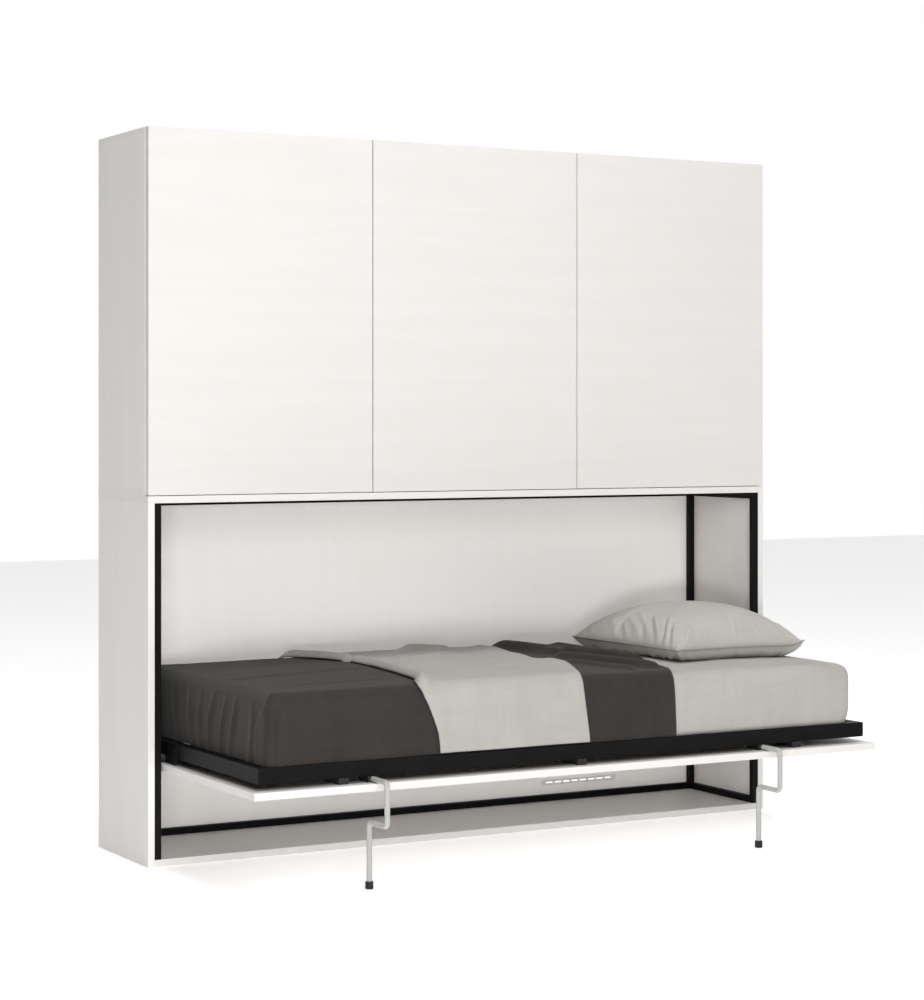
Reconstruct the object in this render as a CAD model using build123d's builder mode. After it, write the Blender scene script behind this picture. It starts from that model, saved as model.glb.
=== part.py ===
from build123d import *
import os

# Horizontal fold-down wall bed with a three-door wall cabinet above it.
# Millimetres. Origin: centre of the cabinet's footprint, on the floor.
# +X is to the right seen from the front, +Y points to the wall, +Z is up.
# The bed is modelled folded out, standing on its two legs.

# ---- driving dimensions -------------------------------------------------
width = 2110
depth = 384
total_height = 2065
lower_height = 1034
board = 20
top_board = 16
back_board = 8

door_thickness = 20
door_gap = 3
door_setback = 24
door_count = 3

tube = 20
tube_wall = 1.5

pivot_y = 33 - depth / 2
pivot_z = 299
pivot_pin_radius = 8
running_gap = 0.06

panel_width = 2022
panel_front = -617 - depth / 2
panel_rear = 306 - depth / 2
panel_bottom = 266
leg_slot_height = 17

bed_half_width = 988
bed_front = -589 - depth / 2
bed_rear = 300 - depth / 2
rail_width = 30
rail_top = 345
rail_wall = 2
vent_offset = 120

slat_count = 14
slat_width = 70
slat_thickness = 8

leg_x = {"left": -654, "right": 621}
leg_radius = 7.5
leg_wall = 1.5
leg_bar_y = -670 - depth / 2
leg_foot_y = -567 - depth / 2
leg_inner_y = -505 - depth / 2
leg_step_z = 178
leg_bend = 14
foot_height = 20
foot_radius = 11

strut_x = 1004
strut_radius = 8
strut_rod_radius = 4
strut_anchor_y = depth / 2 - back_board - tube / 2
strut_anchor_z = 470
strut_lever_y = pivot_y + 105
strut_lever_z = pivot_z + 25

mattress_length = 1900
mattress_depth = 850
mattress_front = -580 - depth / 2
mattress_top = 525
cloth = 4
soft_gap = 0.4

# ---- places worked out from them ----------------------------------------
half_width = width / 2
front_y = -depth / 2
back_y = depth / 2
inner_half = half_width - board
back_board_front = back_y - back_board
carcass_front = front_y + door_setback
tube_inner_half = inner_half - tube
lower_inner_top = lower_height - board
panel_top = panel_bottom + board
rail_bottom = panel_top + leg_slot_height
partition_x = (width / door_count) / 2
sides = {"left": -1, "right": 1}

os.makedirs("parts", exist_ok=True)


def save(piece, name):
    """Labels a finished piece and writes it as one STEP file."""
    piece.part.label = name
    export_step(piece.part, f"parts/{name}.step")


def block(name, x, y, z, soften=0.0, edges=Axis.X):
    """Rectangular board between two corners, with softened long edges if asked."""
    with BuildPart() as piece:
        with BuildSketch(Plane.XY.offset(z[0])):
            with Locations(((x[0] + x[1]) / 2, (y[0] + y[1]) / 2)):
                Rectangle(x[1] - x[0], y[1] - y[0])
        extrude(amount=z[1] - z[0])
        if soften:
            chamfer(piece.edges().filter_by(edges), soften)
    save(piece, name)


def closed_rail(name, x, y, z, edges):
    """Welded rectangular steel rail with closed ends and one small vent hole in its underside."""
    middle = ((x[0] + x[1]) / 2, (y[0] + y[1]) / 2)
    across = (x[1] - x[0], y[1] - y[0])
    vent = (middle[0] + vent_offset, middle[1]) if edges == Axis.X else (middle[0], middle[1] + vent_offset)
    with BuildPart() as piece:
        with BuildSketch(Plane.XY.offset(z[0])):
            with Locations(middle):
                Rectangle(*across)
        extrude(amount=z[1] - z[0])
        chamfer(piece.edges().filter_by(edges), 1.5)
        with BuildSketch(Plane.XY.offset(z[0] + rail_wall)):
            with Locations(middle):
                Rectangle(across[0] - 2 * rail_wall, across[1] - 2 * rail_wall)
        extrude(amount=z[1] - z[0] - 2 * rail_wall, mode=Mode.SUBTRACT)
        with BuildSketch(Plane.XY.offset(z[0])):
            with Locations(vent):
                Circle(4)
        extrude(amount=2 * rail_wall, mode=Mode.SUBTRACT)
    save(piece, name)


def square_tubes(name, starts, direction, length):
    """Square steel tubes of the side frames, open at both ends, each from the centre of its first end."""
    with BuildPart() as piece:
        for start in starts:
            with BuildSketch(Plane(start, x_dir=(1, 0, 0), z_dir=direction)):
                RectangleRounded(tube, tube, 1.5)
                RectangleRounded(tube - 2 * tube_wall, tube - 2 * tube_wall, 0.5, mode=Mode.SUBTRACT)
            extrude(amount=length)
    save(piece, name)


# ---- lower cabinet ------------------------------------------------------
def lower_cabinet():
    for side, s in sides.items():
        x = sorted((s * inner_half, s * half_width))
        block(f"lower_side_{side}", x, (front_y, back_y), (0, lower_inner_top), 0.6, Axis.Z)
    block("lower_bottom", (-inner_half, inner_half), (front_y, back_y), (0, board), 0.6)
    block("lower_top", (-half_width, half_width), (front_y, back_y), (lower_inner_top, lower_height), 0.6)


def lower_back():
    """Back board with a ventilation cut-out and the holes of the wall fixing bolts."""
    with BuildPart() as piece:
        with BuildSketch(Plane.XZ.offset(-back_y)):
            with Locations((0, (board + lower_inner_top) / 2)):
                Rectangle(2 * inner_half, lower_inner_top - board)
            with Locations((vent_x, vent_z)):
                SlotOverall(vent_length - 16, 8, mode=Mode.SUBTRACT)
            with Locations(*[(x, wall_bolt_z) for x in wall_bolt_x]):
                Circle(wall_bolt_radius, mode=Mode.SUBTRACT)
        extrude(amount=back_board)
    save(piece, "lower_back")


def vent_grille():
    """Slim slotted grille in front of the back board's ventilation cut-out."""
    with BuildPart() as piece:
        with BuildSketch(Plane.XZ.offset(-back_board_front)):
            with Locations((vent_x, vent_z)):
                SlotOverall(vent_length, 16)
        extrude(amount=3)
        chamfer(piece.faces().sort_by(Axis.Y)[0].outer_wire().edges(), 1)
        with BuildSketch(Plane.XZ.offset(-back_board_front)):
            with Locations((vent_x, vent_z)):
                with GridLocations(vent_length / 9, 1, 8, 1):
                    SlotOverall(vent_length / 9 - 6, 5)
        extrude(amount=3, mode=Mode.SUBTRACT)
    save(piece, "vent_grille")


vent_x = 592
vent_z = 77
vent_length = 286
wall_bolt_x = (-800, 800)
wall_bolt_radius = 4.5
wall_bolt_z = lower_inner_top - tube / 2


# ---- upper cabinet ------------------------------------------------------
def upper_cabinet():
    z = (lower_height + board, total_height - top_board)
    for side, s in sides.items():
        x = sorted((s * inner_half, s * half_width))
        block(f"upper_side_{side}", x, (carcass_front, back_y), z, 0.6, Axis.Z)
        x = (s * partition_x - board / 2, s * partition_x + board / 2)
        block(f"upper_partition_{side}", x, (carcass_front, back_board_front), z, 0.6, Axis.Z)
    ends = (-half_width, half_width)
    block("upper_bottom", ends, (carcass_front, back_y), (lower_height, lower_height + board), 0.6)
    block("upper_top", ends, (carcass_front, back_y), (total_height - top_board, total_height), 0.6)
    block("upper_back", (-inner_half, inner_half), (back_board_front, back_y), z)


def shelves():
    """One shelf in each bay, resting on four pins pressed into the bay's walls."""
    walls = (-inner_half, -partition_x - board / 2, -partition_x + board / 2)
    bays = {"left": (walls[0], walls[1]), "middle": (walls[2], -walls[2]), "right": (-walls[1], -walls[0])}
    for bay, x in bays.items():
        y = (carcass_front + 16, back_board_front - 1)
        block(f"shelf_{bay}", (x[0] + 1, x[1] - 1), y, (shelf_z, shelf_z + board), 0.6)
    with BuildPart() as pins:
        for x in bays.values():
            for start, heading in ((x[0], 1), (x[1], -1)):
                for y in (carcass_front + 60, back_board_front - 60):
                    with BuildSketch(Plane((start, y, shelf_z - 2.5), z_dir=(heading, 0, 0))):
                        Circle(2.5)
                    extrude(amount=10)
    save(pins, "shelf_pins")


shelf_z = 1560


# ---- doors and their hinges ---------------------------------------------
def doors():
    """Three full-overlay doors. The cups of the concealed hinges sit in bores in the rear face."""
    pitch = width / door_count
    names = ("left", "middle", "right")
    for i, name in enumerate(names):
        x0 = -half_width + i * pitch + door_gap / 2
        x1 = x0 + pitch - door_gap
        cup_x = x1 - hinge_cup_inset if name == "right" else x0 + hinge_cup_inset
        cups = [(cup_x, z) for z in hinge_heights]
        with BuildPart() as door:
            with BuildSketch(Plane.XZ.offset(-front_y - door_thickness)):
                with Locations(((x0 + x1) / 2, (door_bottom + total_height) / 2)):
                    Rectangle(x1 - x0, total_height - door_bottom)
            extrude(amount=door_thickness)
            chamfer(door.faces().sort_by(Axis.Y)[0].edges(), 0.8)
            with BuildSketch(Plane.XZ.offset(-front_y - door_thickness)):
                with Locations(*cups):
                    Circle(hinge_cup_radius)
            extrude(amount=12, mode=Mode.SUBTRACT)
        save(door, f"door_{name}")
        with BuildPart() as cup:
            with BuildSketch(Plane.XZ.offset(-front_y - door_thickness)):
                with Locations(*cups):
                    Circle(hinge_cup_radius)
                    Circle(hinge_cup_radius - 2, mode=Mode.SUBTRACT)
            extrude(amount=11)
            with BuildSketch(Plane.XZ.offset(-front_y - door_thickness - 1.2)):
                with Locations(*cups):
                    RectangleRounded(2 * hinge_cup_radius + 3, 60, 6)
                    Rectangle(16, 22, mode=Mode.SUBTRACT)
            extrude(amount=1.2)
        save(cup, f"door_{name}_hinge_cups")


def hinge_arms():
    """Arm and mounting plate of each concealed hinge, on the wall beside its door."""
    walls = ((-inner_half, 1), (-partition_x + board / 2, 1), (inner_half, -1))
    with BuildPart() as arms:
        for wall, s in walls:
            for z in hinge_heights:
                for height, thickness, y in ((24, 4, (22, 58)), (12, 13, (1, 50))):
                    with BuildSketch(Plane.XY.offset(z - height / 2)):
                        with Locations((wall + s * thickness / 2, carcass_front + sum(y) / 2)):
                            Rectangle(thickness, y[1] - y[0])
                    extrude(amount=height)
    save(arms, "door_hinge_arms")


hinge_cup_inset = 24
hinge_cup_radius = 17.5
hinge_heights = (lower_height + 110, total_height - 110)
door_bottom = lower_height + 2


# ---- steel side frames --------------------------------------------------
def steel_frame():
    """Two upright rectangles of square tube, each with a cross bar that carries the pivot."""
    front_centre = front_y + tube / 2
    rear_centre = back_board_front - tube / 2
    between = rear_centre - front_centre - tube
    upright = lower_inner_top - board
    across = [s * (inner_half - tube / 2) for s in sides.values()]
    square_tubes("frame_front_posts", [(x, front_centre, board) for x in across], (0, 0, 1), upright)
    square_tubes("frame_rear_posts", [(x, rear_centre, board) for x in across], (0, 0, 1), upright)
    for level, z in {"top": wall_bolt_z, "bottom": board + tube / 2}.items():
        starts = [(x, front_centre + tube / 2, z) for x in across]
        square_tubes(f"frame_side_rails_{level}", starts, (0, 1, 0), between)
    with BuildPart() as bars:
        for x in across:
            start = (x, front_centre + tube / 2, pivot_z)
            with BuildSketch(Plane(start, x_dir=(1, 0, 0), z_dir=(0, 1, 0))):
                Rectangle(tube, 2 * tube)
                Rectangle(tube - 2 * tube_wall, 2 * tube - 2 * tube_wall, mode=Mode.SUBTRACT)
            extrude(amount=between)
            with BuildSketch(Plane((x - tube, pivot_y, pivot_z), z_dir=(1, 0, 0))):
                Circle(pivot_pin_radius)
            extrude(amount=2 * tube, mode=Mode.SUBTRACT)
    save(bars, "frame_pivot_bars")
    for level, z in {"top": wall_bolt_z, "bottom": board + tube / 2}.items():
        with BuildPart() as rail:
            with BuildSketch(Plane((-tube_inner_half, rear_centre, z), x_dir=(0, 1, 0), z_dir=(1, 0, 0))):
                RectangleRounded(tube, tube, 1.5)
                RectangleRounded(tube - 2 * tube_wall, tube - 2 * tube_wall, 0.5, mode=Mode.SUBTRACT)
            extrude(amount=2 * tube_inner_half)
            if level == "top":
                with BuildSketch(Plane.XZ.offset(-back_board_front)):
                    with Locations(*[(bolt, z) for bolt in wall_bolt_x]):
                        Circle(wall_bolt_radius)
                extrude(amount=tube, mode=Mode.SUBTRACT)
        save(rail, f"frame_back_{level}")


# ---- pivots -------------------------------------------------------------
def pivots():
    """Pin fixed in the cross bar, a plastic bush on it, and the bed's pivot plate turning on its end."""
    bush_length = tube_inner_half - bed_half_width - plate_thickness - soft_gap
    plate_z = (panel_top + 2, rail_top)
    with BuildPart() as pins:
        for s in sides.values():
            with BuildSketch(Plane((s * bed_half_width, pivot_y, pivot_z), z_dir=(s, 0, 0))):
                Circle(pivot_pin_radius)
            extrude(amount=inner_half - bed_half_width)
    save(pins, "pivot_pins")
    with BuildPart() as bushes:
        for s in sides.values():
            start = s * (tube_inner_half - bush_length)
            with BuildSketch(Plane((start, pivot_y, pivot_z), z_dir=(s, 0, 0))):
                Circle(12)
                Circle(pivot_pin_radius, mode=Mode.SUBTRACT)
            extrude(amount=bush_length)
    save(bushes, "pivot_bushes")
    with BuildPart() as plates:
        for s in sides.values():
            with BuildSketch(Plane((s * bed_half_width, 0, 0), x_dir=(0, s, 0), z_dir=(s, 0, 0))):
                with Locations((s * (pivot_y + 32), sum(plate_z) / 2)):
                    RectangleRounded(250, plate_z[1] - plate_z[0], 12)
                with Locations((s * pivot_y, pivot_z)):
                    Circle(pivot_pin_radius + running_gap, mode=Mode.SUBTRACT)
            extrude(amount=plate_thickness)
    save(plates, "pivot_plates")
    with BuildPart() as bolts:
        for s in sides.values():
            face = s * (bed_half_width + plate_thickness)
            for y in (-85, -60, -35, 30):
                with BuildSketch(Plane((face, pivot_y + y, rail_bottom + 26), z_dir=(s, 0, 0))):
                    RegularPolygon(6, 6)
                extrude(amount=2.5)
    save(bolts, "pivot_plate_bolts")


plate_thickness = 5


# ---- gas springs --------------------------------------------------------
def gas_springs():
    """Cylinder hung from the rear post, and a rod whose end meets the lever end of the pivot plate."""
    anchor = Vector(0, strut_anchor_y, strut_anchor_z)
    lever = Vector(0, strut_lever_y, strut_lever_z)
    heading = (lever - anchor).normalized()
    closed_length = (lever - anchor).length
    with BuildPart() as studs:
        for s in sides.values():
            start = s * (strut_x - strut_radius)
            with BuildSketch(Plane((start, strut_anchor_y, strut_anchor_z), z_dir=(s, 0, 0))):
                Circle(4)
            extrude(amount=tube_inner_half - strut_x + strut_radius)
    save(studs, "gas_spring_studs")
    for side, s in sides.items():
        x = s * strut_x
        with BuildPart() as cylinder:
            with BuildSketch(Plane((x, anchor.Y, anchor.Z), z_dir=tuple(heading))):
                Circle(strut_radius)
            extrude(amount=cylinder_length)
            with BuildSketch(Plane((x - strut_radius, anchor.Y, anchor.Z), z_dir=(1, 0, 0))):
                Circle(strut_radius + 1)
            extrude(amount=2 * strut_radius)
            with BuildSketch(Plane((x - strut_radius, anchor.Y, anchor.Z), z_dir=(1, 0, 0))):
                Circle(4 + running_gap)
            extrude(amount=2 * strut_radius, mode=Mode.SUBTRACT)
            bore_start = anchor + heading * 16
            with BuildSketch(Plane((x, bore_start.Y, bore_start.Z), z_dir=tuple(heading))):
                Circle(strut_rod_radius + running_gap)
            extrude(amount=cylinder_length, mode=Mode.SUBTRACT)
        save(cylinder, f"gas_spring_cylinder_{side}")
        with BuildPart() as rod:
            rod_start = anchor + heading * 22
            with BuildSketch(Plane((x, rod_start.Y, rod_start.Z), z_dir=tuple(heading))):
                Circle(strut_rod_radius)
            extrude(amount=closed_length - 22)
            with BuildSketch(Plane((x - strut_radius, lever.Y, lever.Z), z_dir=(1, 0, 0))):
                Circle(7)
            extrude(amount=2 * strut_radius)
            stub = s * (strut_x - strut_radius)
            with BuildSketch(Plane((stub, lever.Y, lever.Z), z_dir=(-s, 0, 0))):
                Circle(5)
            extrude(amount=strut_x - strut_radius - bed_half_width - plate_thickness - soft_gap)
        save(rod, f"gas_spring_rod_{side}")


cylinder_length = 238


# ---- bed frame, slats and front panel -----------------------------------
def bed_frame():
    inner = bed_half_width - rail_width
    z = (rail_bottom, rail_top)
    ends = {"front": (bed_front, bed_front + rail_width), "rear": (bed_rear - rail_width, bed_rear)}
    for name, y in ends.items():
        closed_rail(f"bed_rail_{name}", (-bed_half_width, bed_half_width), y, z, Axis.X)
    for side, s in sides.items():
        x = sorted((s * inner, s * bed_half_width))
        closed_rail(f"bed_rail_{side}", x, (bed_front + rail_width, bed_rear - rail_width), z, Axis.Y)
    mid = (bed_front + bed_rear) / 2
    slat_bottom = rail_top - 2 - slat_thickness
    closed_rail("bed_centre_beam", (-inner, inner), (mid - 15, mid + 15), (rail_bottom, slat_bottom), Axis.X)
    pitch = 2 * inner / slat_count
    span = (bed_rear - rail_width) - (bed_front + rail_width)
    with BuildPart() as slats:
        with BuildSketch(Plane.XY.offset(slat_bottom)):
            with Locations((0, mid)):
                with GridLocations(pitch, 1, slat_count, 1):
                    Rectangle(slat_width, span)
        extrude(amount=slat_thickness)
        chamfer(slats.edges().filter_by(Axis.Y), 1.5)
    save(slats, "bed_slats")
    with BuildPart() as holders:
        with BuildSketch(Plane.XY.offset(slat_bottom - 8)):
            with Locations((0, mid)):
                with GridLocations(pitch, span - 18, slat_count, 2):
                    Rectangle(slat_width + 8, 18)
        extrude(amount=8)
    save(holders, "slat_holders")


def front_panel():
    """The board that closes the cabinet when the bed is folded up, and the blocks that carry it."""
    half = panel_width / 2
    block("bed_panel", (-half, half), (panel_front, panel_rear), (panel_bottom, panel_top), 0.8)
    with BuildPart() as spacers:
        with BuildSketch(Plane.XY.offset(panel_top)):
            for y in (bed_front + spacer_depth / 2, bed_rear - spacer_depth / 2):
                with Locations((0, y)):
                    with GridLocations(spacer_pitch, 1, 3, 1):
                        Rectangle(30, spacer_depth)
        extrude(amount=leg_slot_height)
    save(spacers, "panel_spacers")


spacer_pitch = 741
spacer_depth = 90


# ---- legs ---------------------------------------------------------------
def legs():
    """Each leg is one bent tube. Its upper arm turns in a sleeve between the front rail and the panel."""
    arm_z = (panel_top + rail_bottom) / 2
    with BuildPart() as sleeves:
        with BuildSketch(Plane.XZ.offset(-bed_front - sleeve_length)):
            with Locations(*[(x, arm_z) for x in leg_x.values()]):
                Rectangle(30, leg_slot_height)
                Circle(leg_radius + running_gap, mode=Mode.SUBTRACT)
        extrude(amount=sleeve_length)
    save(sleeves, "leg_sleeves")
    for side, x in leg_x.items():
        with BuildPart() as leg:
            with BuildLine(Plane.YZ.offset(x)):
                FilletPolyline(
                    (leg_inner_y, arm_z),
                    (leg_bar_y, arm_z),
                    (leg_bar_y, leg_step_z),
                    (leg_foot_y, leg_step_z),
                    (leg_foot_y, foot_height / 2),
                    radius=leg_bend,
                )
            with BuildSketch(Plane((x, leg_inner_y, arm_z), z_dir=(0, -1, 0))):
                Circle(leg_radius)
                Circle(leg_radius - leg_wall, mode=Mode.SUBTRACT)
            sweep()
        save(leg, f"leg_{side}")
        with BuildPart() as foot:
            with BuildSketch(Plane((x, leg_foot_y, 0))):
                Circle(foot_radius)
            extrude(amount=foot_height)
            fillet(foot.edges().filter_by(GeomType.CIRCLE), 1.5)
            with BuildSketch(Plane((x, leg_foot_y, foot_height / 2))):
                Circle(leg_radius)
            extrude(amount=foot_height, mode=Mode.SUBTRACT)
        save(foot, f"leg_foot_{side}")


sleeve_length = 60


# ---- bedding ------------------------------------------------------------
def bedding():
    """Mattress, the two covers draped over it and the pillow, as plain solids of the right size and place."""
    half = mattress_length / 2
    y = (mattress_front, mattress_front + mattress_depth)
    with BuildPart() as mattress:
        with BuildSketch(Plane.XY.offset(rail_top + soft_gap)):
            with Locations((0, sum(y) / 2)):
                RectangleRounded(mattress_length, mattress_depth, 40)
        extrude(amount=mattress_top - rail_top - soft_gap)
        fillet(mattress.faces().sort_by(Axis.Z)[-1].edges(), 30)
    save(mattress, "mattress")
    drape("duvet", (-half - 8, duvet_right_x), mattress_top + soft_gap, y[0] - soft_gap, y[1])
    lift = cloth + soft_gap
    drape("throw", throw_x, mattress_top + soft_gap + lift, y[0] - soft_gap - lift, y[1] - 10)
    with BuildPart() as pillow:
        for z, inset in ((pillow_bottom, 60), (pillow_bottom + 45, 0), (pillow_bottom + pillow_height, 110)):
            with BuildSketch(Plane.XY.offset(z)):
                with Locations((pillow_x, pillow_y)):
                    RectangleRounded(pillow_size[0] - 2 * inset, pillow_size[1] - 2 * inset, 40)
        loft(ruled=True)
    save(pillow, "pillow")


def drape(name, x, top_z, skirt_y, rear_y):
    """Cover lying on the mattress, with a skirt that hangs over its front side."""
    with BuildPart() as piece:
        with BuildSketch(Plane.YZ.offset(x[0])):
            with BuildLine():
                outer = skirt_y - cloth
                FilletPolyline(
                    (rear_y, top_z),
                    (rear_y, top_z + cloth),
                    (outer, top_z + cloth),
                    (outer, rail_top + 2),
                    (skirt_y, rail_top + 2),
                    (skirt_y, top_z),
                    (rear_y, top_z),
                    radius=1,
                    close=True,
                )
            make_face()
        extrude(amount=x[1] - x[0])
    save(piece, name)


duvet_right_x = 380
throw_x = (-450, 100)
pillow_x = 720
pillow_y = -80 - depth / 2
pillow_size = (540, 560)
pillow_bottom = mattress_top + soft_gap
pillow_height = 135

lower_cabinet()
lower_back()
vent_grille()
upper_cabinet()
shelves()
doors()
hinge_arms()
steel_frame()
pivots()
gas_springs()
bed_frame()
front_panel()
legs()
bedding()
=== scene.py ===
import bpy
import bmesh
import math
import numpy as np
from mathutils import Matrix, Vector, noise


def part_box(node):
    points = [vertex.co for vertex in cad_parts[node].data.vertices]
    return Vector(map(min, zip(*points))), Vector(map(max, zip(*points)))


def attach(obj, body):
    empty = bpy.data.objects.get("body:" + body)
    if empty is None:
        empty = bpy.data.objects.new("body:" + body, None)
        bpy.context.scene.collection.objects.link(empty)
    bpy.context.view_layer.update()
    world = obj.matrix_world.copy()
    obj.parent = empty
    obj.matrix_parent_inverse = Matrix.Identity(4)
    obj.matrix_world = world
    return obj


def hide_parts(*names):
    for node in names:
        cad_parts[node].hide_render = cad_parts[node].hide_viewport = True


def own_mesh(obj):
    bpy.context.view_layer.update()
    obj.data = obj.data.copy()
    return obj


# Fold-down wall bed: finishes of the cabinet and frame, and the made-up bedding.
# Metres. +X right, +Y to the wall, +Z up, origin on the floor under the cabinet's centre.

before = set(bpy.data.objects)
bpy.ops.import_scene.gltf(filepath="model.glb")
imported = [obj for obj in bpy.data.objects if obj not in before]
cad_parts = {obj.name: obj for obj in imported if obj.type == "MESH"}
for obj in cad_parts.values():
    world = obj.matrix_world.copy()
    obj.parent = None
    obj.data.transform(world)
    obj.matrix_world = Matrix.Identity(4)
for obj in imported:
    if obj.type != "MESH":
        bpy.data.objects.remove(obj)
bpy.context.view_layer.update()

# ---- sizes read from the model ------------------------------------------
bed_lo, bed_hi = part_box("mattress")
rail_top = bed_lo.z
mattress_front = bed_lo.y
mattress_rear = bed_hi.y
mattress_top = bed_hi.z
half_length = bed_hi.x
depth_of_top = mattress_rear - mattress_front
drop = mattress_top - rail_top


# ---- materials ----------------------------------------------------------
def linear(rgb):
    """8-bit sRGB to a linear RGBA colour."""
    channels = [c / 255 for c in rgb]
    return [c / 12.92 if c <= 0.04045 else ((c + 0.055) / 1.055) ** 2.4 for c in channels] + [1]


class Look:
    """A node material under construction: a Principled shader and short calls that add nodes to it."""

    def __init__(self, name, roughness=0.5, **sockets):
        self.material = bpy.data.materials.new(name)
        self.material.use_nodes = True
        self.tree = self.material.node_tree
        self.shader = self.tree.nodes["Principled BSDF"]
        self.shader.inputs["Roughness"].default_value = roughness
        for socket, value in sockets.items():
            self.shader.inputs[socket.replace("_", " ")].default_value = value
        coordinates = self.tree.nodes.new("ShaderNodeTexCoord")
        self.place = coordinates.outputs["Object"]
        self.facing = coordinates.outputs["Normal"]
        self.height = None

    def add(self, kind, **settings):
        node = self.tree.nodes.new(kind)
        for key, value in settings.items():
            if key in node.inputs:
                node.inputs[key].default_value = value
            else:
                setattr(node, key, value)
        return node

    def join(self, output, node, socket):
        self.tree.links.new(output, node.inputs[socket])

    def stretch(self, scale):
        node = self.add("ShaderNodeMapping")
        node.inputs["Scale"].default_value = scale
        self.join(self.place, node, "Vector")
        return node.outputs["Vector"]

    def noise(self, scale, detail=3.0, roughness=0.55, stretch=(1, 1, 1)):
        node = self.add("ShaderNodeTexNoise", Scale=scale, Detail=detail, Roughness=roughness)
        self.join(self.stretch(stretch), node, "Vector")
        return node.outputs["Fac"]

    def wave(self, period, axis, distortion=0.0, stretch=(1, 1, 1), detail=2.0, detail_scale=1.0):
        scale = 2 * math.pi / (20 * period)  # at scale 1 the bands repeat every 2 pi / 20
        node = self.add("ShaderNodeTexWave", Scale=scale, Distortion=distortion, Detail=detail)
        node.inputs["Detail Scale"].default_value = detail_scale
        node.bands_direction = axis
        self.join(self.stretch(stretch), node, "Vector")
        return node.outputs["Fac"]

    def math(self, operation, a, b):
        node = self.add("ShaderNodeMath", operation=operation)
        for i, value in enumerate((a, b)):
            if isinstance(value, (int, float)):
                node.inputs[i].default_value = value
            else:
                self.join(value, node, i)
        return node.outputs[0]

    def ramp(self, factor, *stops):
        node = self.add("ShaderNodeValToRGB")
        elements = node.color_ramp.elements
        while len(elements) < len(stops):
            elements.new(0.5)
        for element, (position, rgb) in zip(elements, stops):
            element.position = position
            element.color = linear(rgb)
        self.join(factor, node, "Fac")
        return node.outputs["Color"]

    def colour(self, output):
        self.join(output, self.shader, "Base Color")

    def rough(self, factor, low, high):
        node = self.add("ShaderNodeMapRange")
        node.inputs["To Min"].default_value = low
        node.inputs["To Max"].default_value = high
        self.join(factor, node, "Value")
        self.join(node.outputs["Result"], self.shader, "Roughness")

    def bump(self, height, distance, strength):
        node = self.add("ShaderNodeBump", Distance=distance, Strength=strength)
        self.join(height, node, "Height")
        if self.height is not None:
            self.join(self.height, node, "Normal")
        self.height = node.outputs["Normal"]
        self.join(self.height, self.shader, "Normal")


def shade(rgb, change):
    """The colour made lighter or darker by a number of 8-bit steps."""
    return tuple(min(255, max(0, c + change)) for c in rgb)


def foil_board(name, rgb, grain, roughness=0.42):
    """White foil pressed with an ash grain that runs along X or Z."""
    look = Look(name, roughness, Specular_IOR_Level=0.35)
    along = (0.05, 1, 1) if grain == "X" else (1, 1, 0.05)
    fibres = look.noise(260, 4, 0.6, along)
    streaks = look.noise(42, 3, 0.6, along)
    ring_stretch = (0.16, 1, 1) if grain == "X" else (1, 1, 0.16)
    across = "Z" if grain == "X" else "X"
    rings = look.wave(0.09, across, 14, ring_stretch, 3, 1.6)
    figure = look.math("ADD", look.math("MULTIPLY", rings, 0.5), look.math("MULTIPLY", streaks, 0.5))
    look.colour(look.ramp(figure, (0.2, shade(rgb, -1)), (0.5, rgb), (0.8, shade(rgb, 1))))
    look.rough(fibres, roughness - 0.05, roughness + 0.08)
    look.bump(rings, 0.00002, 0.15)
    look.bump(fibres, 0.00012, 0.4)
    return look.material


def smooth_board(name, rgb):
    look = Look(name, 0.45)
    mottle = look.noise(9, 4, 0.6)
    look.colour(look.ramp(mottle, (0.3, shade(rgb, -1)), (0.7, shade(rgb, 1))))
    look.bump(look.noise(900, 2), 0.00004, 0.5)
    return look.material


def powder_coat(name, rgb, roughness=0.42):
    """Sprayed and baked powder: a fine orange-peel surface, with slight changes in gloss."""
    look = Look(name, roughness, Specular_IOR_Level=0.1)
    cloudy = look.noise(14, 4, 0.6)
    look.colour(look.ramp(cloudy, (0.3, shade(rgb, -3)), (0.7, shade(rgb, 3))))
    look.rough(look.noise(60, 3), roughness - 0.06, roughness + 0.08)
    look.bump(look.noise(420, 2), 0.00012, 0.5)
    return look.material


def cloth(name, rgb, sheen, thread=0.0016, depth=8, mottle=5):
    """Plain weave in threads along all three axes, slubs, and a soft uneven nap."""
    look = Look(name, 0.9)
    look.shader.inputs["Sheen Weight"].default_value = sheen
    look.shader.inputs["Sheen Roughness"].default_value = 0.45
    look.shader.inputs["Specular IOR Level"].default_value = 0.25
    facing = look.add("ShaderNodeSeparateXYZ")
    look.join(look.facing, facing, "Vector")
    threads = 0
    for axis in "XYZ":
        across = look.math("SUBTRACT", 1, look.math("ABSOLUTE", facing.outputs[axis], 0))
        threads = look.math("ADD", threads, look.math("MULTIPLY", look.wave(thread, axis, 0.6), across))
    slubs = look.math("ADD", look.noise(30, 4, 0.65, (0.12, 1, 1)), look.noise(30, 4, 0.65, (1, 1, 0.12)))
    patchy = look.noise(5, 4, 0.6)
    value = look.math("ADD", look.math("MULTIPLY", threads, 0.12), look.math("MULTIPLY", slubs, 0.28))
    value = look.math("ADD", value, look.math("MULTIPLY", patchy, 0.35))
    low, high = shade(rgb, -depth), shade(rgb, mottle)
    look.colour(look.ramp(value, (0.4, low), (0.72, high)))
    look.rough(slubs, 0.82, 0.96)
    look.bump(patchy, 0.002, 0.25)
    look.bump(slubs, 0.0004, 0.4)
    look.bump(threads, 0.00025, 0.5)
    return look.material


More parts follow.
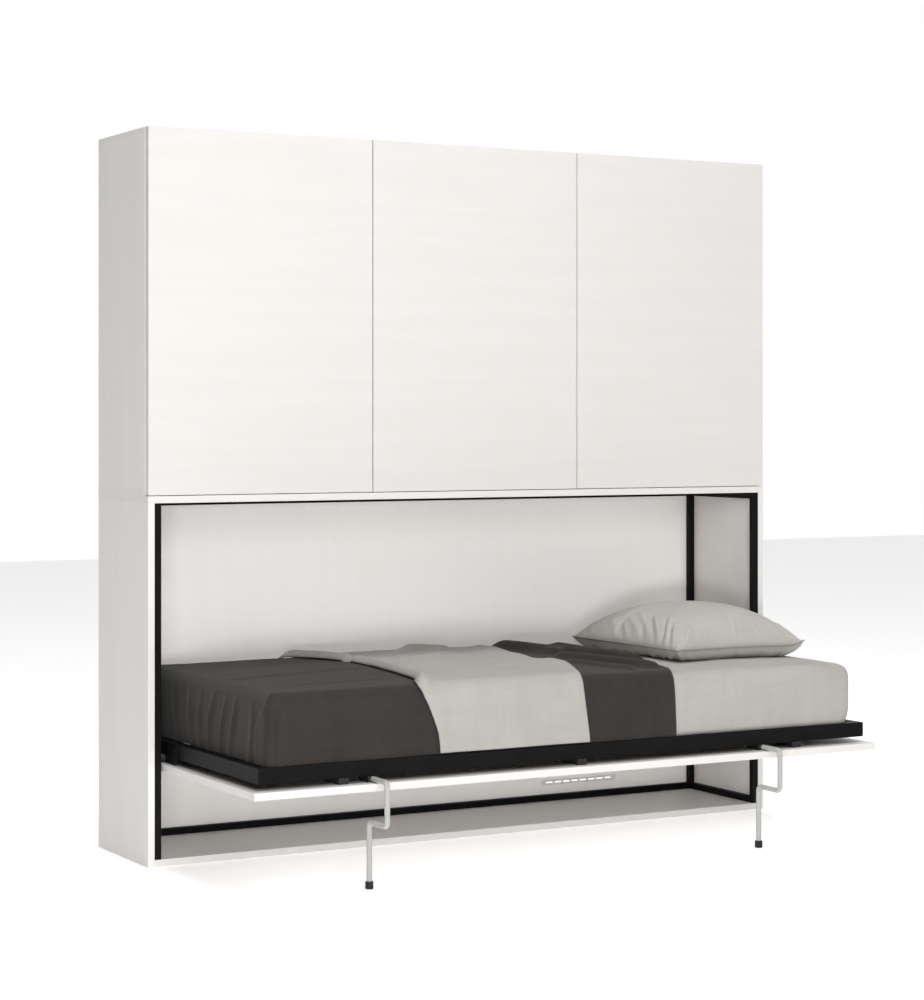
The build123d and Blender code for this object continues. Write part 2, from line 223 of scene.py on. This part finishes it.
def bare_steel(name, rgb):
    look = Look(name, 0.3, Metallic=1.0)
    brushed = look.noise(500, 3, 0.6, (0.05, 1, 1))
    look.colour(look.ramp(brushed, (0.3, shade(rgb, -10)), (0.7, shade(rgb, 6))))
    look.rough(brushed, 0.25, 0.42)
    look.bump(brushed, 0.00005, 0.4)
    return look.material


def moulded(name, rgb, roughness=0.55, grain=700):
    look = Look(name, roughness)
    look.colour(look.ramp(look.noise(12, 3), (0.3, shade(rgb, -3)), (0.7, shade(rgb, 4))))
    look.rough(look.noise(80, 2), roughness - 0.08, roughness + 0.08)
    look.bump(look.noise(grain, 2), 0.0001, 0.5)
    return look.material


def birch(name):
    look = Look(name, 0.5)
    fibres = look.noise(160, 5, 0.65, (1, 0.04, 1))
    rings = look.wave(0.03, "X", 6, (1, 0.1, 1), 3, 2)
    figure = look.math("ADD", look.math("MULTIPLY", fibres, 0.6), look.math("MULTIPLY", rings, 0.35))
    look.colour(look.ramp(figure, (0.25, (188, 158, 116)), (0.55, (214, 190, 150)), (0.8, (226, 205, 168))))
    look.rough(fibres, 0.42, 0.6)
    look.bump(fibres, 0.0002, 0.4)
    return look.material


# The boards share one white foil, but each group gets its own tone set against the lamps. The doors are
# darkest, as painted shade. The flat boards and the carcass are lighter, and the back board is near white,
# as painted light in the niche and on the shaded sides.
front_white_painted_shade = (212, 209, 206)
carcass_white_painted_light = (224, 221, 218)
looks = {
    "doors": foil_board("foil_front_painted_shade", front_white_painted_shade, "X", roughness=0.6),
    "carcass": foil_board("foil_carcass_painted_light", carcass_white_painted_light, "Z"),
    "flat": foil_board("foil_flat_painted_light", (220, 217, 214), "X"),
    "back": foil_board("foil_back_painted_light", (254, 252, 249), "Z", roughness=0.5),
    "inner": smooth_board("laminate_inner", (232, 230, 226)),
    "black": powder_coat("powder_coat_black", (15, 15, 16), 0.5),
    "leg": powder_coat("powder_coat_light_grey", (172, 172, 169), 0.35),
    "steel": bare_steel("zinc_plated", (172, 172, 174)),
    "plastic": moulded("plastic_black", (28, 28, 29)),
    "grille": moulded("plastic_white", (226, 226, 223), 0.45),
    "rubber": moulded("rubber_black", (24, 24, 25), 0.8, 300),
    "slats": birch("birch"),
    "dark": cloth("cotton_dark", (47, 44, 41), 0.1, depth=5, mottle=6),
    "light": cloth("cotton_light", (168, 165, 160), 0.08),
    "sheet": cloth("cotton_sheet", (171, 168, 163), 0.08),
    # The piping is darker than the pillow as painted shade: it stands for the thin shadow line along the
    # seam.
    "piping": cloth("cotton_piping_painted_seam_shade", (150, 148, 141), 0.05, thread=0.0008),
    "pillow": cloth("cotton_pillow", (178, 176, 169), 0.08),
}


def finish_of(node):
    """Which look a model node wears."""
    if node.startswith(("frame_", "bed_rail", "bed_centre", "pivot_plate", "gas_spring_cylinder")):
        return "black"
    if node.endswith("hinge_cups") or node.startswith(("gas_", "pivot_pins", "door_hinge")):
        return "steel"
    fixed = {
        "shelf_pins": "steel", "leg_foot_left": "rubber", "leg_foot_right": "rubber",
        "leg_left": "leg", "leg_right": "leg", "vent_grille": "grille", "bed_slats": "slats",
        "leg_sleeves": "plastic", "panel_spacers": "plastic", "slat_holders": "plastic",
        "pivot_bushes": "plastic", "lower_back": "back", "upper_back": "back",
        "bed_panel": "flat", "lower_bottom": "flat", "lower_top": "flat", "upper_top": "flat",
        "upper_bottom": "flat", "door_left": "doors", "door_middle": "doors", "door_right": "doors",
    }
    if node in fixed:
        return fixed[node]
    return "inner" if node.startswith(("shelf", "upper_partition")) else "carcass"


for node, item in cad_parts.items():
    if not item.material_slots:
        item.data.materials.append(None)
    for place in item.material_slots:
        place.material = looks[finish_of(node)]


# ---- mesh helpers -------------------------------------------------------
def smooth(mesh):
    mesh.polygons.foreach_set("use_smooth", [True] * len(mesh.polygons))


def make_object(name, points, faces, material):
    mesh = bpy.data.meshes.new(name)
    mesh.from_pydata([tuple(p) for p in points], [], faces)
    mesh.update()
    item = bpy.data.objects.new(name, mesh)
    bpy.context.collection.objects.link(item)
    mesh.materials.append(material)
    smooth(mesh)
    return item


def modify(item, kind, **settings):
    modifier = item.modifiers.new(kind.title(), kind)
    for key, value in settings.items():
        setattr(modifier, key, value)
    return modifier


def settle(item):
    """Applies every modifier of an object to its mesh."""
    graph = bpy.context.evaluated_depsgraph_get()
    mesh = bpy.data.meshes.new_from_object(item.evaluated_get(graph))
    item.modifiers.clear()
    item.data = mesh
    smooth(mesh)


def rework(item, change):
    """Runs change on the object's mesh as a bmesh, and turns its faces outward."""
    mesh = bmesh.new()
    mesh.from_mesh(item.data)
    change(mesh)
    bmesh.ops.recalc_face_normals(mesh, faces=mesh.faces)
    mesh.to_mesh(item.data)
    mesh.free()


def weld(item, distance):
    rework(item, lambda mesh: bmesh.ops.remove_doubles(mesh, verts=mesh.verts, dist=distance))
    smooth(item.data)


def close_holes(item):
    rework(item, lambda mesh: bmesh.ops.holes_fill(mesh, edges=[e for e in mesh.edges if e.is_boundary]))


def ease(t):
    t = np.clip(t, 0, 1)
    return t * t * (3 - 2 * t)


def waviness(points, scale, seed):
    """Smooth noise from -1 to 1 at each point."""
    shift = Vector((seed, seed * 0.7, -seed))
    roughness, gap, octaves = 0.8, 2.0, 3
    return np.array([noise.fractal(Vector(p * scale) + shift, roughness, gap, octaves) for p in points])


def ridge(points, start, end, width, axes=(0, 1)):
    """A long soft fold between two points, as a height from 0 to 1 that fades at its ends."""
    plane = points[:, axes]
    start, end = np.array(start), np.array(end)
    along = end - start
    length = np.linalg.norm(along)
    t = (plane - start) @ along / length**2
    nearest = start + np.clip(t, 0, 1)[:, None] * along
    away = np.linalg.norm(plane - nearest, axis=1)
    fade = ease((t + 0.25) / 0.35) * ease((1.25 - t) / 0.35)
    return np.exp(-((away / width) ** 2)) * fade


# ---- the bed's padded shape ---------------------------------------------
edge_radius = 0.024


def crest(x):
    """Height of the mattress's top: a little higher under the covers, and lowest at the pillow's end."""
    return mattress_top + 0.001 + 0.004 * ease((0.35 - x) / 0.5) - 0.005 * ease((x - 0.74) / 0.2)


def padded_shape(points):
    """Pulls points of a sharp-edged box onto the mattress's rounded shape. Gives points and normals.

    The foot end at the left is crisper, the pillow's end rounder, and the sides pull in at their foot."""
    left = ease((-0.86 - points[:, 0]) / 0.07)
    right = ease((points[:, 0] - 0.80) / 0.12)
    radii = np.full(points.shape, edge_radius) + 0.016 * right[:, None]
    radii[:, 0] -= 0.008 * left
    radii[:, 1] -= 0.010 * left
    low = np.array([-half_length, mattress_front, rail_top - 1])
    high = np.array([half_length, mattress_rear, mattress_top])
    inner = np.clip(points, low + radii, high - radii)
    out = (points - inner) / radii
    out /= np.maximum(np.linalg.norm(out, axis=1, keepdims=True), 1e-9)
    rounded = inner + out * radii
    normals = out / radii
    normals /= np.maximum(np.linalg.norm(normals, axis=1, keepdims=True), 1e-9)
    height = (rounded[:, 2] - rail_top) / drop
    rise = crest(rounded[:, 0]) - mattress_top
    rounded[:, 2] += rise * np.clip(height, 0, 1)
    tuck = 0.003 * (1 - ease(height / 0.16))
    rounded[:, :2] -= normals[:, :2] * tuck[:, None]
    return rounded, normals


def box_faces(cells_x, cells_y, cells_z):
    """Grids on the top and the four sides of a unit box that is open below."""
    sides = (
        (cells_x, cells_y, lambda a, b: (a, b, 1)),
        (cells_x, cells_z, lambda a, b: (a, 0, b)),
        (cells_x, cells_z, lambda a, b: (1 - a, 1, b)),
        (cells_y, cells_z, lambda a, b: (0, 1 - a, b)),
        (cells_y, cells_z, lambda a, b: (1, a, b)),
    )
    points, faces = [], []
    for m, n, place in sides:
        base = len(points)
        points += [place(i / m, j / n) for j in range(n + 1) for i in range(m + 1)]
        for j in range(n):
            for i in range(m):
                corner = base + j * (m + 1) + i
                faces.append((corner, corner + 1, corner + m + 2, corner + m + 1))
    return np.array(points, float), faces


# ---- mattress with its fitted sheet -------------------------------------
def make_mattress():
    unit, faces = box_faces(120, 56, 14)
    low = np.array([-half_length, mattress_front, rail_top])
    size = np.array([2 * half_length, depth_of_top, drop])
    points, normals = padded_shape(low + unit * size)
    side = 1 - np.abs(normals[:, 2])
    soft = waviness(points * np.array([1, 1, 0.5]), 7, 3.0) * 0.0022
    creases = waviness(points * np.array([1, 1, 0.35]), 16, 9.0) * 0.0016 * side
    points += normals * (soft + creases)[:, None]
    # The pillow's end bows out a little above its foot.
    points[:, 0] += 0.009 * ease((points[:, 0] - 0.88) / 0.06) * ease(unit[:, 2] * 4)
    item = make_object("fitted_sheet_mattress", points, faces, looks["sheet"])
    weld(item, 0.0004)
    close_holes(item)
    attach(item, "bed")
    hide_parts("mattress")


# ---- the two covers -----------------------------------------------------
def edge_line(rows, stops):
    """x of a cover's edge for rows counted 0 at the rear of the top to 1 at the foot of the skirt."""
    at, x = zip(*stops)
    edge = np.interp(rows, at, x)
    for _ in range(10):
        edge[1:-1] = (edge[:-2] + 2 * edge[1:-1] + edge[2:]) / 4
    return edge


def cover_grid(left, right, columns, rear, foot, closer=1.0):
    """Sharp-edged cover over the top and front of the bed, between two edge lines. Gives points and faces.

    closer above 1 sets the columns closer together towards the left edge."""
    points = []
    for j in range(rows + 1):
        if j <= rows_top:
            y = rear + (mattress_front - rear) * j / rows_top
            z = mattress_top
        else:
            y = mattress_front
            z = mattress_top + (foot - mattress_top) * (j - rows_top) / rows_front
        for i in range(columns + 1):
            x = left[j] + (right[j] - left[j]) * (i / columns) ** closer
            points.append((x, y, z))
    faces = []
    for j in range(rows):
        for i in range(columns):
            corner = j * (columns + 1) + i
            faces.append((corner, corner + columns + 1, corner + columns + 2, corner + 1))
    return np.array(points), faces


rows_top, rows_front = 112, 26
rows = rows_top + rows_front
row_at = np.arange(rows + 1) / rows
top_share = rows_top / rows


def on_top(y):
    """Row position of a point on the top, from its y."""
    return (mattress_rear - y) / depth_of_top * top_share


def on_front(z):
    """Row position of a point on the front, from its z."""
    return top_share + (mattress_top - z) / drop * (1 - top_share)


duvet_right = edge_line(row_at, [
    (0, 0.468), (on_top(-0.10), 0.466), (on_top(-0.20), 0.440), (on_top(-0.47), 0.404),
    (on_top(-0.70), 0.345), (on_top(-0.765), 0.306), (on_front(0.48), 0.313), (1, 0.320),
])
throw_left = edge_line(row_at, [
    (0, -0.530), (on_top(0.03), -0.492), (on_top(-0.04), -0.440), (on_top(-0.135), -0.408),
    (on_top(-0.25), -0.410), (on_top(-0.37), -0.424), (on_top(-0.54), -0.450), (on_top(-0.68), -0.476),
    (on_top(-0.765), -0.524), (on_front(0.50), -0.500), (on_front(0.45), -0.477), (on_front(0.40), -0.457),
    (1, -0.450),
])
throw_right = edge_line(row_at, [
    (0, 0.150), (on_top(-0.04), 0.150), (on_top(-0.13), 0.127), (on_top(-0.21), 0.108),
    (on_top(-0.28), 0.104), (on_top(-0.36), 0.084), (on_top(-0.405), 0.080), (on_top(-0.44), 0.118),
    (on_top(-0.50), 0.117), (on_top(-0.58), 0.084), (on_top(-0.70), 0.026), (on_top(-0.76), -0.004),
    (on_front(0.49), 0.002), (1, 0.022),
])


duvet_foot = rail_top + 0.0002
duvet_past_middle = 0.38
duvet_ridges = (  # on the top: start, end, height, width
    ((-0.90, -0.42), (-0.45, -0.30), 0.004, 0.022), ((-0.80, -0.62), (-0.50, -0.58), 0.003, 0.018),
    ((0.22, 0.05), (0.27, -0.22), 0.028, 0.032), ((0.29, 0.02), (0.33, -0.24), -0.005, 0.014),
    ((0.30, -0.10), (0.36, -0.52), 0.026, 0.018), ((0.265, -0.18), (0.325, -0.56), -0.004, 0.012),
    ((0.22, -0.30), (0.31, -0.68), 0.021, 0.015), ((0.185, -0.36), (0.265, -0.70), -0.004, 0.010),
    ((0.40, 0.02), (0.41, -0.35), 0.015, 0.018), ((0.16, -0.45), (0.22, -0.70), 0.012, 0.013),
)
end_wrinkles = (  # on the foot end: y, width, height
    (-0.66, 0.016, 0.005), (-0.55, 0.012, 0.007), (-0.49, 0.010, 0.006), (-0.42, 0.013, 0.008),
    (-0.35, 0.011, 0.006), (-0.28, 0.014, 0.006), (-0.16, 0.016, 0.005), (-0.04, 0.018, 0.005),
)


def line(distance, width):
    """Height from 0 to 1 of a thin ridge at a distance from its middle."""
    return np.exp(-((distance / width) ** 2))


def end_panel(base):
    """The duvet's drop over the foot end, as points and faces numbered from base."""
    points, faces = [], []
    for j in range(rows_front + 1):
        for i in range(rows_top + 1):
            y = mattress_rear + (mattress_front - mattress_rear) * i / rows_top
            z = mattress_top + (duvet_foot - mattress_top) * j / rows_front
            points.append((-half_length, y, z))
    for j in range(rows_front):
        for i in range(rows_top):
            corner = base + j * (rows_top + 1) + i
            faces.append((corner, corner + rows_top + 1, corner + rows_top + 2, corner + 1))
    return points, faces


def end_lift(shape, low, end):
    """The foot end's wrinkles, its outward lean, and the tucked fold near its front edge."""
    wrinkles = np.zeros(len(shape))
    for y, width, height in end_wrinkles:
        bend = 0.02 * np.sin(low * 2.6 + y * 9)
        wrinkles += height * line(shape[:, 1] - y + bend, width)
    fold_at = 0.760 - 0.060 * ease((low - 0.02) / 0.5)
    past_fold = -shape[:, 1] - fold_at
    lift = wrinkles * ease(low * 1.8) * (1 - 0.4 * low) * 1.6 + 0.006 * low
    return end * (lift + 0.003 * ease(past_fold / 0.006) + 0.0012 * line(past_fold - 0.010, 0.010))


def corner_lift(shape, low, normals):
    """The line down the front corner where the duvet is folded over: a lip, a groove and a softer lip."""
    at_corner = ease((low - 0.02) / 0.08) * ease((-normals[:, 1] - 0.15) / 0.3)
    from_line = shape[:, 0] + half_length - 0.003 - 0.045 * (1 - ease(low / 0.4)) ** 1.5
    profile = 0.0035 * line(from_line, 0.004) - 0.0035 * line(from_line - 0.010, 0.0035)
    return at_corner * (profile + 0.0015 * line(from_line - 0.019, 0.005))


def make_duvet():
    left = np.full(rows + 1, -half_length)
    points, faces = cover_grid(left, duvet_right, 190, mattress_rear, duvet_foot, closer=1.25)
    end_points, end_faces = end_panel(len(points))
    sharp = np.vstack([points, np.array(end_points)])
    shape, normals = padded_shape(sharp)
    top = np.clip(normals[:, 2], 0, 1) ** 2
    front = np.clip(-normals[:, 1], 0, 1) ** 2
    end = np.clip(-normals[:, 0], 0, 1) ** 2
    low = np.clip((mattress_top - sharp[:, 2]) / drop, 0, 1)
    lift = np.full(len(shape), 0.0055)
    lift += 0.0015 * (waviness(shape, 5, 1.0) + 1) * (top + front)
    for start, stop, rise, width in duvet_ridges:
        lift += top * rise * ridge(shape, start, stop, width)
    lift += (top + front) * 0.004 * ridge(shape, (0.20, 0.50), (0.25, 0.43), 0.010, (0, 2))
    lift += front * 0.003 * ridge(shape, (0.24, 0.50), (0.28, 0.40), 0.014, (0, 2))
    lift += end_lift(shape, low, end) + corner_lift(shape, low, normals)
    shape = shape + normals * lift[:, None]
    item = make_object("duvet_cover", shape, faces + end_faces, looks["dark"])
    weld(item, 0.0003)
    modify(item, "SOLIDIFY", thickness=0.0045, offset=-1, use_even_offset=False)
    settle(item)
    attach(item, "bed")
    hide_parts("duvet")
    width = half_length + duvet_past_middle + drop


throw_ridges = (  # on the top: start, end, height, width
    ((-0.10, 0.07), (-0.02, -0.02), 0.016, 0.045), ((0.13, -0.02), (0.02, -0.25), 0.005, 0.022),
    ((0.08, -0.24), (-0.10, -0.45), 0.006, 0.018), ((0.10, -0.44), (0.00, -0.52), 0.005, 0.020),
    ((-0.35, -0.30), (-0.05, -0.10), 0.005, 0.025),
)


def make_throw():
    columns = 96
    points, faces = cover_grid(throw_left, throw_right, columns, mattress_rear - 0.006, rail_top + 0.004)
    shape, normals = padded_shape(points)
    width = np.repeat(throw_right - throw_left, columns + 1)
    across = np.tile(np.arange(columns + 1) / columns, rows + 1)
    from_left = across * width
    from_right = (1 - across) * width
    top = np.clip(normals[:, 2], 0, 1) ** 2
    front = np.clip(-normals[:, 1], 0, 1) ** 2
    lift = np.full(len(shape), 0.0135)
    lift += 0.0022 * (waviness(shape, 4.5, 5.0) + 0.6)
    # The hem along the left edge, with the notch where it dips.
    lift += line(from_left - 0.022, 0.019) * (0.016 * top + 0.003 * front)
    lift -= 0.006 * line(from_left, 0.008) * top
    lift -= line(shape[:, 1] + 0.135, 0.013) * line(from_left, 0.05) * 0.018 * top
    for start, stop, rise, spread in throw_ridges:
        lift += top * rise * ridge(shape, start, stop, spread)
    lift += 0.003 * line(from_right, 0.02) * (0.4 + top)
    foot = np.clip((mattress_top - points[:, 2]) / drop, 0, 1)
    lift += front * 0.002 * np.sin(shape[:, 0] * 21 + 1) * foot
    shape = shape + normals * lift[:, None]
    item = make_object("throw_cover", shape, faces, looks["light"])
    modify(item, "SOLIDIFY", thickness=0.005, offset=-1, use_even_offset=False)
    settle(item)
    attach(item, "bed")
    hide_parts("throw")


# ---- pillow -------------------------------------------------------------
pillow_bed = crest(0.7)
bed_gap = 0.0015
below_seam = 0.0345
above_seam = 0.108
seam_height = pillow_bed + bed_gap + below_seam
most_move = 0.012
pillow_corners = np.array([(0.475, -0.552), (0.946, -0.548), (0.462, 0.010), (0.955, 0.012)])
gathers = [  # x, y at the seam, x, y at the far end, height, width
    (0.466, -0.090, 0.500, -0.030, 0.003, 0.012), (0.470, -0.210, 0.512, -0.130, 0.005, 0.011),
    (0.471, -0.280, 0.512, -0.200, 0.004, 0.009), (0.472, -0.355, 0.520, -0.215, 0.006, 0.010),
    (0.472, -0.400, 0.550, -0.235, 0.005, 0.009), (0.474, -0.445, 0.541, -0.330, 0.006, 0.008),
    (0.476, -0.482, 0.550, -0.400, 0.005, 0.008), (0.480, -0.520, 0.535, -0.450, 0.006, 0.009),
    (0.510, -0.545, 0.560, -0.490, 0.004, 0.010), (0.575, -0.546, 0.570, -0.500, 0.002, 0.012),
    (0.702, -0.540, 0.748, -0.395, 0.0055, 0.0075), (0.810, -0.546, 0.800, -0.490, 0.003, 0.012),
    (0.885, -0.546, 0.850, -0.480, 0.004, 0.011), (0.930, -0.535, 0.890, -0.480, 0.004, 0.009),
    (0.945, -0.470, 0.890, -0.430, 0.004, 0.010), (0.948, -0.380, 0.890, -0.350, 0.004, 0.012),
    (0.950, -0.250, 0.890, -0.240, 0.003, 0.012), (0.952, -0.120, 0.895, -0.120, 0.004, 0.012),
    (0.950, -0.030, 0.900, -0.060, 0.004, 0.010), (0.880, 0.008, 0.860, -0.060, 0.004, 0.012),
    (0.780, 0.008, 0.770, -0.060, 0.003, 0.013), (0.660, 0.008, 0.670, -0.060, 0.004, 0.012),
    (0.540, 0.008, 0.560, -0.050, 0.004, 0.011),
]


def pillow_form(u, v, side):
    """One panel over a four-cornered outline whose sides pull in, crowned above and pressed flat below."""
    pull = 0.05
    a = (u * (1 - pull * (1 - v**2)) + 1) / 2
    b = (v * (1 - pull * (1 - u**2)) + 1) / 2
    plan = np.stack([(1 - a) * (1 - b), a * (1 - b), (1 - a) * b, a * b], 1) @ pillow_corners
    fullness_x = np.where(u > 0, 3.3, 2.3)
    crown = ((1 - np.abs(u) ** fullness_x) * (1 - np.abs(v) ** 2.7)) ** 0.5
    height = above_seam * crown if side > 0 else -below_seam * (1 - np.exp(-7 * crown))
    slump = crest(plan[:, 0]) - pillow_bed
    ear = 0.016 * np.clip(u, 0, 1) ** 10 * np.clip(-v, 0, 1) ** 10
    points = np.column_stack([plan, seam_height + height + slump + ear])
    folds = np.zeros(len(points))
    for x, y, far_x, far_y, rise, width in gathers:
        fold = ridge(points, (x, y), (far_x, far_y), width)
        beside = ridge(points, (x, y + 1.6 * width), (far_x, far_y + 1.6 * width), width * 0.8)
        folds += 1.35 * rise * (fold - 0.9 * beside)
    seam_fade = np.clip(crown * 3, 0, 1)
    points[:, 2] += folds * seam_fade * (1 if side > 0 else 0.8)
    return points


def pillow_mesh(cells):
    """Both panels, joined at the seam. Gives points, faces and the numbers of the seam's points."""
    even = np.linspace(-1, 1, cells + 1)
    spaced = 0.6 * even + 0.4 * np.sin(even * math.pi / 2)
    u = np.tile(spaced, cells + 1)
    v = np.repeat(spaced, cells + 1)
    edge = np.maximum(np.abs(u), np.abs(v)) > 0.9999
    upper, lower = pillow_form(u, v, 1), pillow_form(u, v, -1)
    points = [tuple(p) for p in upper]
    lower_index = np.arange(len(u))
    for k in np.flatnonzero(~edge):
        lower_index[k] = len(points)
        points.append(tuple(lower[k]))
    faces = []
    for j in range(cells):
        for i in range(cells):
            k = j * (cells + 1) + i
            ring = (k, k + 1, k + cells + 2, k + cells + 1)
            faces.append(ring)
            faces.append(tuple(int(lower_index[n]) for n in ring[::-1]))
    return points, faces, np.flatnonzero(edge)


def relax(item, points, rim):
    """Cloth under a little pressure: held at the seam, cut slightly full, and fullest near its left side."""
    held = item.vertex_groups.new(name="seam")
    held.add([int(k) for k in rim], 1.0, "REPLACE")
    full = item.vertex_groups.new(name="fullness")
    for k, point in enumerate(points):
        full.add([k], float(ease((0.62 - point[0]) / 0.14)), "REPLACE")
    puff = modify(item, "CLOTH")
    values = {
        "quality": 6, "mass": 0.2, "tension_stiffness": 20, "compression_stiffness": 10,
        "shear_stiffness": 5, "bending_stiffness": 0.08, "vertex_group_mass": "seam",
        "vertex_group_shrink": "fullness", "shrink_min": -0.015, "shrink_max": -0.05,
        "use_pressure": True, "uniform_pressure_force": 4,
    }
    for key, value in values.items():
        setattr(puff.settings, key, value)
    puff.settings.effector_weights.gravity = 0
    puff.point_cache.frame_start = 1
    puff.point_cache.frame_end = 30
    for step in range(1, 25):
        bpy.context.scene.frame_set(step)
    settle(item)
    bpy.context.scene.frame_set(1)


def make_pillow():
    """Two panels sewn round their edge and relaxed as cloth. Gives the seam's points."""
    points, faces, rim = pillow_mesh(84)
    item = make_object("pillow_soft", points, faces, looks["pillow"])
    start = np.array(points)
    relax(item, start, rim)
    move = np.array([vertex.co for vertex in item.data.vertices]) - start
    reach = np.linalg.norm(move, axis=1, keepdims=True)
    move *= most_move * np.tanh(reach / most_move) / np.maximum(reach, 1e-9)
    relaxed = start + move
    relaxed[:, 2] = np.maximum(relaxed[:, 2], crest(relaxed[:, 0]) + bed_gap)
    item.data.vertices.foreach_set("co", relaxed.ravel())
    item.data.update()
    modify(item, "SUBSURF", levels=1, render_levels=1)
    settle(item)
    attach(item, "bed")
    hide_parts("pillow")
    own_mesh(item)
    return relaxed[rim]


def make_piping(seam):
    """Thin corded edge along the pillow's seam. Its darker colour is painted shade for the shadow line at
    the seam.
    """
    centre = seam.mean(0)
    order = np.argsort(np.arctan2(seam[:, 1] - centre[1], seam[:, 0] - centre[0]))
    loop = seam[order]
    sides, radius = 8, 0.0024
    points, faces = [], []
    count = len(loop)
    for i in range(count):
        ahead = loop[(i + 1) % count] - loop[i - 1]
        ahead /= np.linalg.norm(ahead)
        side = np.cross(ahead, (0, 0, 1))
        side /= np.linalg.norm(side)
        up = np.cross(side, ahead)
        for k in range(sides):
            angle = 2 * math.pi * k / sides
            points.append(loop[i] + radius * (side * math.cos(angle) + up * math.sin(angle)))
            n = (i + 1) % count
            m = (k + 1) % sides
            faces.append((i * sides + k, n * sides + k, n * sides + m, i * sides + m))
    item = make_object("pillow_piping", points, faces, looks["piping"])
    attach(item, "bed")
    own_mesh(item)


make_mattress()
make_duvet()
make_throw()
make_piping(make_pillow())


# ---- floor, light and camera --------------------------------------------
studio_lights = (  # name, place, aim, size, watts
    ("overhead", (0.1, -1.5, 8.0), (0.1, -1.3, 0.5), (3.0, 2.5), 303),
    ("front_top", (-1.0, -5.0, 4.4), (0.3, 0, 0.8), (2.2, 1.6), 69),
    ("front_high", (-2.4, -6.0, 2.8), (0.3, 0, 0.8), (2.2, 1.6), 108),
    ("front_low", (-2.9, -5.6, 0.35), (0.4, 0, 0.35), (2.2, 0.5), 110),
)
camera_place = (-3.5942, -6.4991, 1.2467)
camera_turn = -29.312
camera_lens = 87.243
camera_shift = -0.0801
view_heading = (0.49, 0.87, 0)


def make_floor():
    look = Look("studio_floor", 0.6, Emission_Color=(1, 1, 1, 1), Emission_Strength=0.42)
    look.colour(look.ramp(look.noise(1.5, 3), (0.3, (246, 246, 246)), (0.7, (248, 248, 248))))
    size, height = 14, -0.0005
    corners = [(-size, -size), (size, -size), (size, size), (-size, size)]
    floor = make_object("studio_floor", [(x, y, height) for x, y in corners], [(0, 1, 2, 3)], look.material)


def area_light(name, place, aim, size, power):
    data = bpy.data.lights.new(name, "AREA")
    data.shape = "RECTANGLE"
    data.size, data.size_y = size
    data.energy = power
    item = bpy.data.objects.new(name, data)
    bpy.context.collection.objects.link(item)
    item.location = place
    item.rotation_euler = (Vector(aim) - Vector(place)).to_track_quat("-Z", "Y").to_euler()


def make_world():
    """White light from beyond the cabinet that fades to none in front. The camera sees plain white."""
    world = bpy.data.worlds.new("studio")
    world.use_nodes = True
    tree = world.node_tree
    background = tree.nodes["Background"]
    background.inputs["Color"].default_value = (1, 1, 1, 1)
    place = tree.nodes.new("ShaderNodeTexCoord")
    behind = tree.nodes.new("ShaderNodeVectorMath")
    behind.operation = "DOT_PRODUCT"
    behind.inputs[1].default_value = view_heading
    fall = tree.nodes.new("ShaderNodeMapRange")
    fall.inputs["From Min"].default_value = -0.1
    fall.inputs["From Max"].default_value = 0.55
    seen = tree.nodes.new("ShaderNodeMath")
    seen.operation = "MAXIMUM"
    ray = tree.nodes.new("ShaderNodeLightPath")
    for output, socket in (
        (place.outputs["Generated"], behind.inputs[0]), (behind.outputs["Value"], fall.inputs["Value"]),
        (fall.outputs["Result"], seen.inputs[0]), (ray.outputs["Is Camera Ray"], seen.inputs[1]),
        (seen.outputs[0], background.inputs["Strength"]),
    ):
        tree.links.new(output, socket)
    bpy.context.scene.world = world


def make_camera():
    data = bpy.data.cameras.new("camera")
    data.lens = camera_lens
    data.sensor_width = 36
    data.shift_y = camera_shift
    data.clip_end = 60
    camera = bpy.data.objects.new("camera", data)
    bpy.context.collection.objects.link(camera)
    camera.location = camera_place
    camera.rotation_euler = (math.radians(90), 0, math.radians(camera_turn))
    bpy.context.scene.camera = camera


make_floor()
make_world()
for light in studio_lights:
    area_light(*light)
make_camera()
bpy.context.scene.view_settings.view_transform = "Standard"
